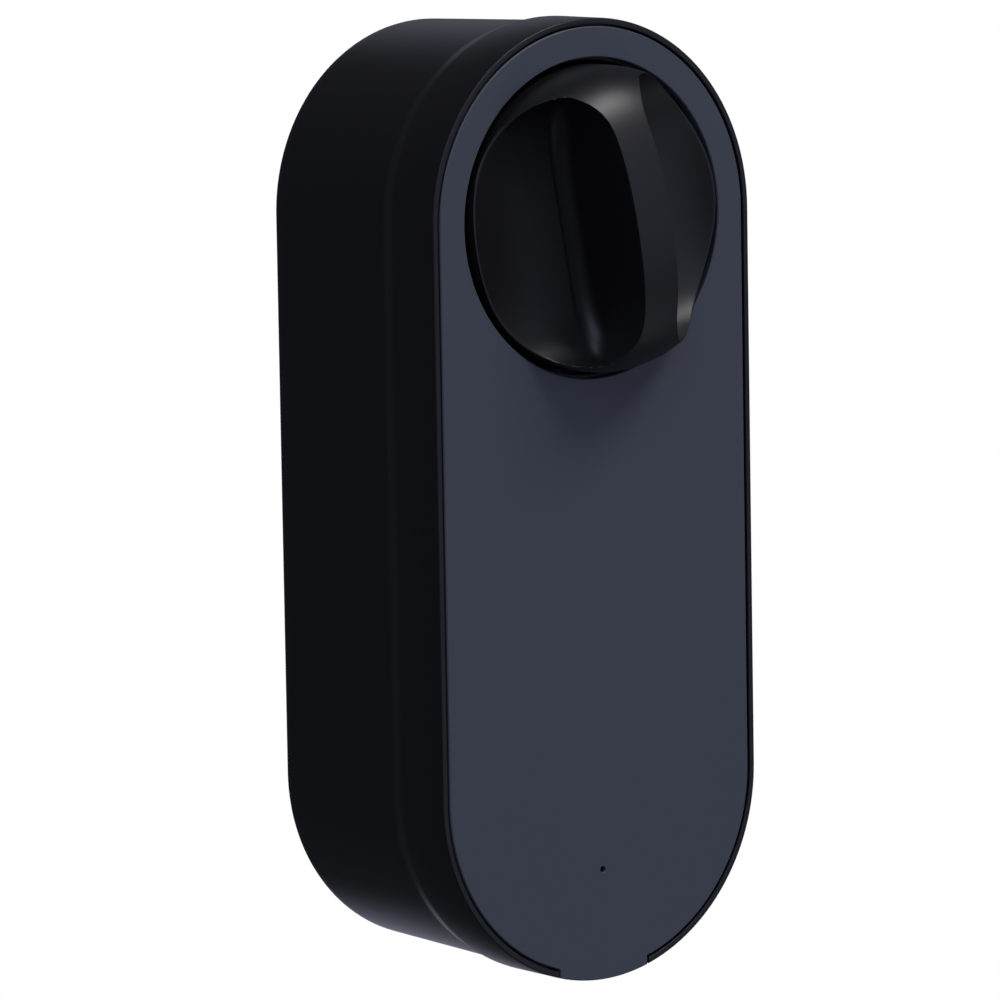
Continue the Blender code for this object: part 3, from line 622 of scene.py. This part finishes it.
def scoop(u, v):
    """Height of the scoop's surface, which also rises over the grip so that the lower of the two wins."""
    edge = grip_edge(v)
    foot = max(SCOOP_FOOT + FOOT_SPREAD * (v / SCOOP_END) ** 4, edge + FOOT_LEAST)
    top = crown(min(math.hypot(edge, v), DRUM_RADIUS))
    rim = lifted(RIM_CURVE, v)
    valley = min(lifted(VALLEY_CURVE, v), top - FLANK_LEAST)
    across = abs(u)
    if across < edge:
        return top + (edge - across) * CREST_RISE
    round_off = min(FLANK_ROUND * (foot - edge), 0.95 * (top - valley))
    wall_end = foot - round_off
    if across < wall_end:
        down = (across - edge) / (wall_end - edge)
        return top + (valley + round_off - top) * down
    if across < foot:
        return valley + round_off - math.sqrt(round_off ** 2 - (foot - across) ** 2)
    outward = (across - foot) / max(DRUM_RADIUS - foot, MM)
    low = valley - FLOOR_DIP * (1.0 - (v / SCOOP_END) ** 2)
    if outward < FLOOR_LOWEST:
        return low + (valley - low) * (1.0 - outward / FLOOR_LOWEST) ** 2
    return low + (rim - low) * ((outward - FLOOR_LOWEST) / (1.0 - FLOOR_LOWEST)) ** 2


def knob_height(u, v):
    dome = crown(math.hypot(u, v))
    if abs(v) >= SCOOP_END:
        return dome
    cut_to = scoop(u, v)
    meet = max(EDGE_ROUND - abs(dome - cut_to), 0.0)
    return min(dome, cut_to) - meet ** 2 / (4 * EDGE_ROUND)


# %% The knob's skin
def eased(count):
    """Values from 0 to 1, crowded at both ends."""
    return [0.5 - 0.5 * math.cos(math.pi * i / count) for i in range(count + 1)]


def knob_columns(v, reach):
    """Places across the grip at v, out to reach, with most of them on the flank and round its foot."""
    edge = min(grip_edge(v), reach * 0.90)
    foot = min(max(SCOOP_FOOT, edge + FOOT_LEAST), reach * 0.97)
    crest = [edge * t for t in eased(14)]
    flank = [edge + (foot - edge) * (i / 36) ** 1.5 for i in range(1, 37)]
    floor = [foot + (reach - foot) * t for t in eased(26)[1:]]
    half = crest + flank + floor
    return [-u for u in reversed(half)] + half[1:]


KNOB_ROWS = 300
SKIRT_WALL = 2.9 * MM
SKIRT_DEPTH = 3.6 * MM
SKIRT_LEAD = 0.5 * MM
CEILING_DEPTH = 1.8 * MM


def make_knob():
    mesh = bmesh.new()
    top = []
    for i in range(1, KNOB_ROWS):
        v = DRUM_RADIUS * math.sin(math.pi * (i / KNOB_ROWS - 0.5))
        reach = math.sqrt(DRUM_RADIUS ** 2 - v ** 2)
        row = []
        for u in knob_columns(v, reach):
            inward = max(DRUM_RADIUS - math.hypot(u, v), 0.0)
            rounding = RIM_ROUND - math.sqrt(RIM_ROUND ** 2 - max(RIM_ROUND - inward, 0.0) ** 2)
            row.append(mesh.verts.new((u, FRONT - knob_height(u, v) + rounding, v)))
        top.append(row)
    for near, far in zip(top, top[1:]):
        for j in range(len(near) - 1):
            mesh.faces.new((near[j], near[j + 1], far[j + 1], far[j]))
    edge = top[0] + [row[-1] for row in top[1:-1]] + top[-1][::-1] + [row[0] for row in top[-2:0:-1]]
    back = span("thumbturn_knob", 1)[1] - SKIRT_DEPTH
    skirt = [edge]
    for radius, y in ((DRUM_RADIUS, back - SKIRT_LEAD), (DRUM_RADIUS - SKIRT_WALL, back),
                      (DRUM_RADIUS - SKIRT_WALL, FRONT + CEILING_DEPTH)):
        ring = []
        for vertex in edge:
            flat = Vector((vertex.co.x, 0.0, vertex.co.z)).normalized() * radius
            ring.append(mesh.verts.new((flat.x, y, flat.z)))
        skirt.append(ring)
    for near, far in zip(skirt, skirt[1:]):
        for i, vertex in enumerate(near):
            j = (i + 1) % len(near)
            mesh.faces.new((vertex, near[j], far[j], far[i]))
    mesh.faces.new(skirt[-1])
    mesh.transform(Matrix.Translation((KNOB_AT[0], 0.0, KNOB_AT[1])) @ Matrix.Rotation(-KNOB_TURN, 4, "Y"))
    return finished("thumbturn", mesh, KNOB_BLACK, sharp=50.0)


knob = make_knob()
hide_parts("thumbturn_knob")
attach(knob, "knob")
print("knob with", len(knob.data.polygons), "faces")

# %% [markdown]
# ## Finishes for the nodes that stay
#
# The gears, the shaft, the boards and the other inner pieces keep their solids. Each gets its finish and a
# small round on its edges, so that no edge is a perfect line.

# %% Finish the inner pieces
TUMBLED_EDGE = 0.08 * MM


def refinish(node, material):
    """The finish, and a small round on the edges sharper than 40 degrees."""
    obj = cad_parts[node]
    obj.data.materials.clear()
    obj.data.materials.append(material)
    bevel = obj.modifiers.new("edge_round", "BEVEL")
    bevel.width = TUMBLED_EDGE
    bevel.segments = 2
    bevel.limit_method = "ANGLE"
    bevel.angle_limit = math.radians(40.0)
    bevel.harden_normals = True


KEPT = {
    STEEL: ["knob_shaft", "retaining_clip", "gearbox_plate", "gearbox_screw_1", "gearbox_screw_2",
            "gearbox_screw_3", "idler_axle", "clamp_screw_1", "clamp_screw_2", "clamp_screw_3"],
    ZINC_BLACK: ["frame_screw_1", "frame_screw_2", "frame_screw_3", "frame_screw_4", "motor_screw_1",
                 "motor_screw_2", "mounting_plate", "cylinder_coupler", "gear_motor"],
    BRASS: ["output_gear", "motor_pinion"],
    BRONZE: ["shaft_bushing"],
    NICKEL: ["plate_magnet_1", "plate_magnet_2", "plate_magnet_3", "plate_magnet_4", "contact_strip_bottom",
             "contact_strip_top"],
    FERRITE: ["encoder_magnet"],
    GEAR_NYLON: ["idler_gear"],
    LAMINATE: ["main_board", "radio_module", "status_board", "sensor_board"],
    EPOXY: ["buzzer"],
    PIPE_CLEAR: ["light_pipe"],
    KEY_RUBBER: ["reset_button"],
    CARRIER_BLACK: ["inner_frame", "release_latch"],
    TRAY_GREY: ["battery_tray"],
    CELL_SLEEVE: ["battery_cell_1", "battery_cell_2", "battery_cell_3", "battery_cell_4"],
    RIBBON_RED: ["pull_ribbon"],
}
for finish, nodes in KEPT.items():
    for node in nodes:
        refinish(node, finish)
print("finished", sum(len(nodes) for nodes in KEPT.values()), "inner pieces")

# %% [markdown]
# ## Floor, light and camera
#
# The object hangs on a door, so the pale floor lies well below it. Floor and world are white to the camera
# but dim to every other ray: black plastic shows what it mirrors, so only the softboxes may be bright. A
# wide dim one at the front right gives the plate and the rim their even tone, a small bright one above it
# gives the highlight on the knob's shoulder, one at the left fills the valley of the scoop, and two behind
# graze the housing's ends. Each panel is placed by the direction in which the object sees it.

# %% Floor
FLOOR_DROP = 0.42


def make_floor():
    finish = Finish("pale_floor", (0.9, 0.9, 0.9), 0.9)
    mesh = bmesh.new()
    mesh.faces.new([mesh.verts.new((x, y, -FLOOR_DROP)) for x, y in ((-9, -9), (9, -9), (9, 9), (-9, 9))])
    floor = finished("floor", mesh, finish.material)
    seen = finish.node("ShaderNodeEmission", inputs={"Strength": 1.0})
    bounced = finish.node("ShaderNodeEmission", inputs={"Color": (0.88, 0.93, 1.1, 1.0), "Strength": 0.07})
    path = finish.node("ShaderNodeLightPath", output="Is Camera Ray")
    mixed = finish.node("ShaderNodeMixShader", inputs={0: path, 1: bounced, 2: seen})
    finish.tree.links.new(mixed.socket, finish.tree.nodes["Material Output"].inputs["Surface"])


make_floor()


# %% World: white behind the object, dim round it
def make_world():
    world = bpy.data.worlds.new("studio")
    bpy.context.scene.world = world
    world.use_nodes = True
    tree = world.node_tree
    lit = tree.nodes["Background"]
    lit.inputs["Color"].default_value = (0.85, 0.88, 1.1, 1.0)
    lit.inputs["Strength"].default_value = 0.08
    seen = tree.nodes.new("ShaderNodeBackground")
    seen.inputs["Color"].default_value = (1.0, 1.0, 1.0, 1.0)
    seen.inputs["Strength"].default_value = 1.0
    path = tree.nodes.new("ShaderNodeLightPath")
    mix = tree.nodes.new("ShaderNodeMixShader")
    tree.links.new(path.outputs["Is Camera Ray"], mix.inputs["Fac"])
    tree.links.new(lit.outputs["Background"], mix.inputs[1])
    tree.links.new(seen.outputs["Background"], mix.inputs[2])
    tree.links.new(mix.outputs["Shader"], tree.nodes["World Output"].inputs["Surface"])


make_world()
bpy.context.scene.view_settings.view_transform = "Standard"


# %% Softboxes
def softbox(name, azimuth, elevation, distance, size, radiance, colour=(1.0, 1.0, 1.0)):
    """A panel seen from the object towards azimuth (0 in front, positive to the left) and elevation."""
    turn, lift = math.radians(azimuth), math.radians(elevation)
    level = distance * math.cos(lift)
    place = Vector((-level * math.sin(turn), -level * math.cos(turn), distance * math.sin(lift)))
    data = bpy.data.lights.new(name, "AREA")
    data.shape = "RECTANGLE"
    data.size, data.size_y = size
    data.energy = radiance * math.pi * size[0] * size[1]
    data.color = colour
    light = bpy.data.objects.new(name, data)
    light.location = place
    light.rotation_euler = (-place).to_track_quat("-Z", "Y").to_euler()
    light.visible_camera = False
    bpy.context.scene.collection.objects.link(light)


softbox("front_right_softbox", -28.0, -2.0, 1.8, (1.53, 2.2), 0.41, (0.92, 0.96, 1.3))
softbox("low_front_softbox", -31.0, -42.0, 0.56, (0.6, 0.4), 0.33, (0.92, 0.96, 1.2))
softbox("upper_right_softbox", -30.0, 54.0, 1.5, (0.62, 0.42), 11.5)
softbox("left_softbox", 52.0, 28.0, 1.4, (1.15, 0.95), 0.95, (0.9, 0.97, 1.3))
softbox("upper_left_softbox", 36.0, 66.0, 1.5, (0.7, 0.6), 1.6, (0.92, 0.97, 1.2))
softbox("high_back_softbox", -147.0, 22.0, 1.5, (0.6, 0.5), 0.36, (0.94, 0.97, 1.2))
softbox("low_back_softbox", -150.0, -30.0, 0.5, (0.22, 0.17), 0.85, (0.94, 0.97, 1.25))
print("stage and lights made")

# %% [markdown]
# The camera looks from the left and a little above, from about a metre with a long lens, so that upright
# lines stay nearly parallel. It is placed by its turn and drop round the point that it aims at.

# %% Camera
VIEW_TURN = math.radians(37.26866)
VIEW_DROP = math.radians(6.98445)
VIEW_ROLL = math.radians(-0.95249)
VIEW_DISTANCE = 1.044056
VIEW_AIM = (0.0, -0.01894, -0.00176)


def make_camera():
    data = bpy.data.cameras.new("camera")
    data.sensor_width = 36.0
    data.lens = 236.82
    data.clip_start = 0.01
    data.clip_end = 60.0
    camera = bpy.data.objects.new("camera", data)
    level = math.pi / 2 - VIEW_DROP
    camera.matrix_world = (Matrix.Translation(VIEW_AIM) @ Matrix.Rotation(-VIEW_TURN, 4, "Z")
                           @ Matrix.Rotation(level, 4, "X") @ Matrix.Rotation(VIEW_ROLL, 4, "Z")
                           @ Matrix.Translation((0.0, 0.0, VIEW_DISTANCE)))
    bpy.context.scene.collection.objects.link(camera)
    bpy.context.scene.camera = camera


make_camera()
print("camera set")
